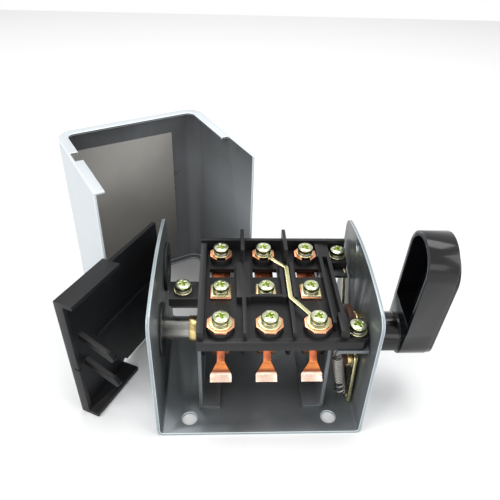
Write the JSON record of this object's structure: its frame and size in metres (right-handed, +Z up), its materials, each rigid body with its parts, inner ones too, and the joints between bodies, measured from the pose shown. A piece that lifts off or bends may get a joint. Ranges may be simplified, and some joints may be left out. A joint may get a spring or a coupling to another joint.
{
  "type": "reversing drum switch",
  "caption": "Reversing drum switch: open folded-sheet frame, contact block with screw terminals, detented contact drum turned by a side lever, cover and end cap standing beside it.",
  "frame": {"origin": "centre of the four base holes, on the underside of the base", "axes": "+X along the shaft towards the lever, +Y to the back, +Z up from the base"},
  "size_m": [0.1795, 0.1397, 0.1014],
  "materials": {
    "zinc_sheet": "satin grey-blue zinc coat",
    "block_plastic": "satin moulded phenolic",
    "cap_plastic": "satin moulded black",
    "handle_plastic": "polished moulded black",
    "drum_plastic": "moulded black",
    "grommet_rubber": "soft black rubber",
    "copper": "bare copper",
    "yellow_zinc": "yellow passivated",
    "brass": "turned brass",
    "bright_zinc": "bright zinc plate with a yellow-green cast",
    "spring_steel": "plain steel",
    "fibre": "brown laminated fibre",
    "cover_paint": "pale blue-grey enamel",
    "lining_sheet": "beige insulating card"
  },
  "bodies": {
    "frame": {"base_frame": "zinc_sheet", "left_bracket": "zinc_sheet", "right_bracket": "zinc_sheet", "contact_block": "block_plastic", "front_terminal_plates": "copper", "middle_terminal_plates": "copper", "back_terminal_plates": "copper", "front_fingers": "copper", "middle_fingers": "copper", "back_fingers": "copper", "front_flat_washers": "yellow_zinc", "middle_square_washers": "yellow_zinc", "back_flat_washers": "yellow_zinc", "front_lock_washers": "spring_steel", "middle_lock_washers": "spring_steel", "back_lock_washers": "spring_steel", "front_screws": "bright_zinc", "middle_screws": "bright_zinc", "back_screws": "bright_zinc", "fixing_flat_washers": "yellow_zinc", "fixing_lock_washers": "spring_steel", "fixing_screws": "bright_zinc", "jumper": "yellow_zinc", "left_shaft_bush": "block_plastic", "right_shaft_bush": "brass", "cable_grommet": "grommet_rubber", "stop_strap": "yellow_zinc", "lever_pivot_pin": "spring_steel", "detent_spring": "spring_steel"},
    "drum": {"drum_shaft": "spring_steel", "drum_body": "drum_plastic", "front_segments": "copper", "back_segments": "copper", "shaft_collar": "brass", "detent_cam": "fibre", "handle": "handle_plastic", "handle_screw": "bright_zinc"},
    "detent": {"detent_lever": "yellow_zinc", "lever_cheek": "fibre", "roller_pin": "spring_steel"},
    "roller": {"detent_roller": "brass"},
    "cover": {"cover_shell": "cover_paint", "cover_lining": "lining_sheet"},
    "end_cap": {"end_cap": "cap_plastic"}
  },
  "joints": [
    {"name": "drum_turn", "type": "hinge", "parent": "frame", "child": "drum", "pos_m": [0, -0.0075, 0.0375], "axis": [1, 0, 0], "range_deg": [-45, 45]},
    {"name": "detent_swing", "type": "hinge", "parent": "frame", "child": "detent", "pos_m": [0.0439, -0.01239, 0.019], "axis": [1, 0, 0], "range_deg": [-5.2, 0], "deforming": ["detent_spring"]},
    {"name": "roller_spin", "type": "hinge", "parent": "detent", "child": "roller", "pos_m": [0.0417, -0.01944, 0.02945], "axis": [1, 0, 0], "continuous": true},
    {"name": "cover_lift", "type": "slide", "parent": "frame", "child": "cover", "axis": [-0.1317, 0.0682, 0.9889], "range_m": [0, 0.12]},
    {"name": "end_cap_slide", "type": "slide", "parent": "frame", "child": "end_cap", "axis": [-0.2588, -0.9659, 0], "range_m": [0, 0.11]}
  ]
}
